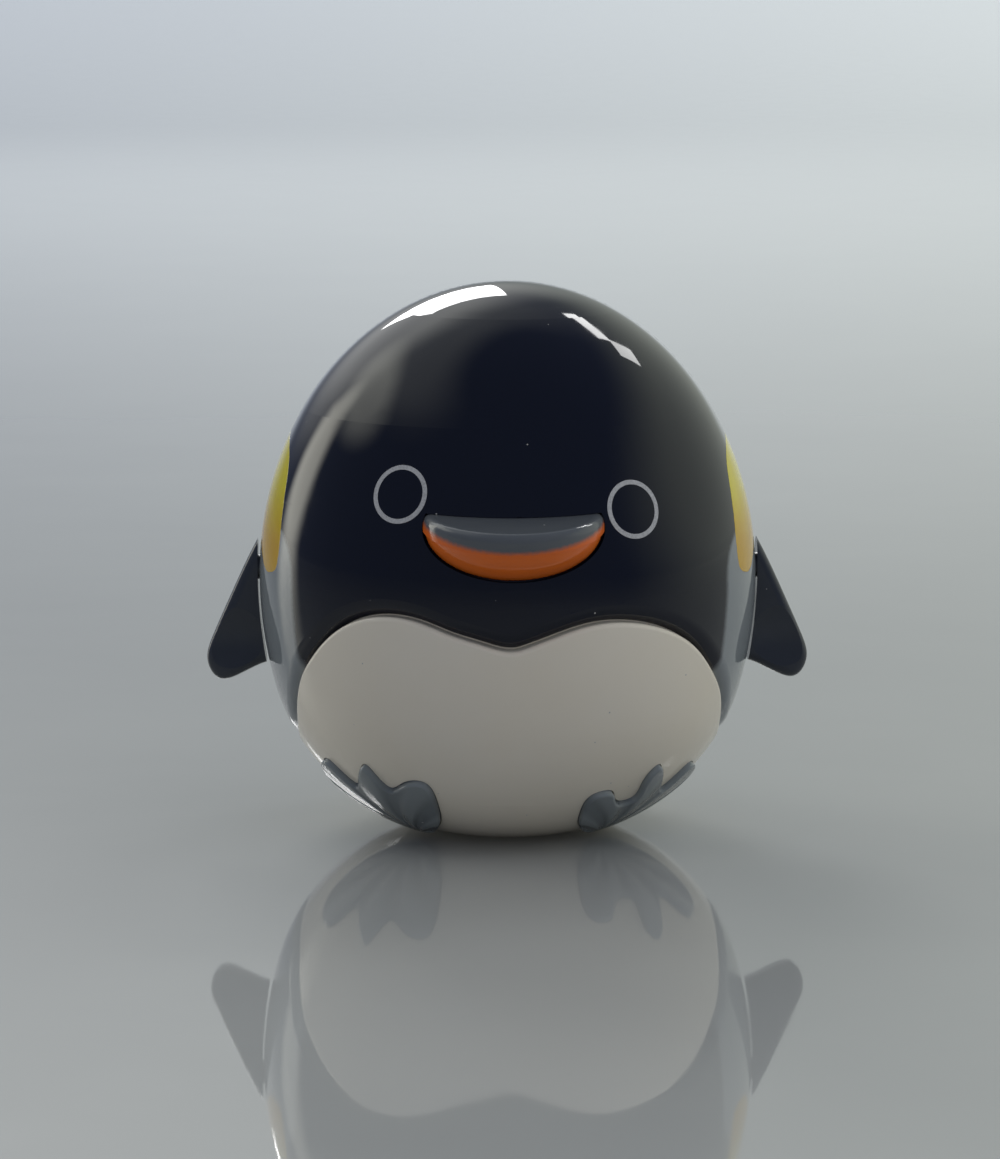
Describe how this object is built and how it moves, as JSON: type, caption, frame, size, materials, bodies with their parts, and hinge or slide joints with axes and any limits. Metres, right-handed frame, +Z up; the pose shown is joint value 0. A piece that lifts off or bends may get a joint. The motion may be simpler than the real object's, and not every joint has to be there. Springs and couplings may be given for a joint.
{
  "type": "penguin figurine",
  "caption": "Small round penguin ornament in gloss moulded plastic, weighted flat base, with two flippers that turn on pegs.",
  "frame": {"origin": "centre of the flat base's underside", "axes": "+Z up, the face looks along -Y, +X is the right-hand side of someone facing the figurine"},
  "size_m": [0.0486, 0.0436, 0.044],
  "materials": {
    "black_gloss": "high gloss",
    "white_gloss": "high gloss",
    "grey_gloss": "high gloss",
    "orange_gloss": "high gloss",
    "bare_steel": "bare, cropped"
  },
  "bodies": {
    "figure": {"hood_front": "black_gloss", "hood_back": "black_gloss", "belly_shell": "white_gloss", "upper_beak": "grey_gloss", "lower_beak": "orange_gloss", "left_foot": "grey_gloss", "right_foot": "grey_gloss", "base_weight": "bare_steel"},
    "left_flipper": {"left_flipper": "black_gloss"},
    "right_flipper": {"right_flipper": "black_gloss"}
  },
  "joints": [
    {"name": "left_flipper_turn", "type": "hinge", "parent": "figure", "child": "left_flipper", "pos_m": [-0.02, 0, 0.021], "axis": [1, 0, 0], "continuous": true},
    {"name": "right_flipper_turn", "type": "hinge", "parent": "figure", "child": "right_flipper", "pos_m": [0.02, 0, 0.021], "axis": [1, 0, 0], "continuous": true}
  ]
}
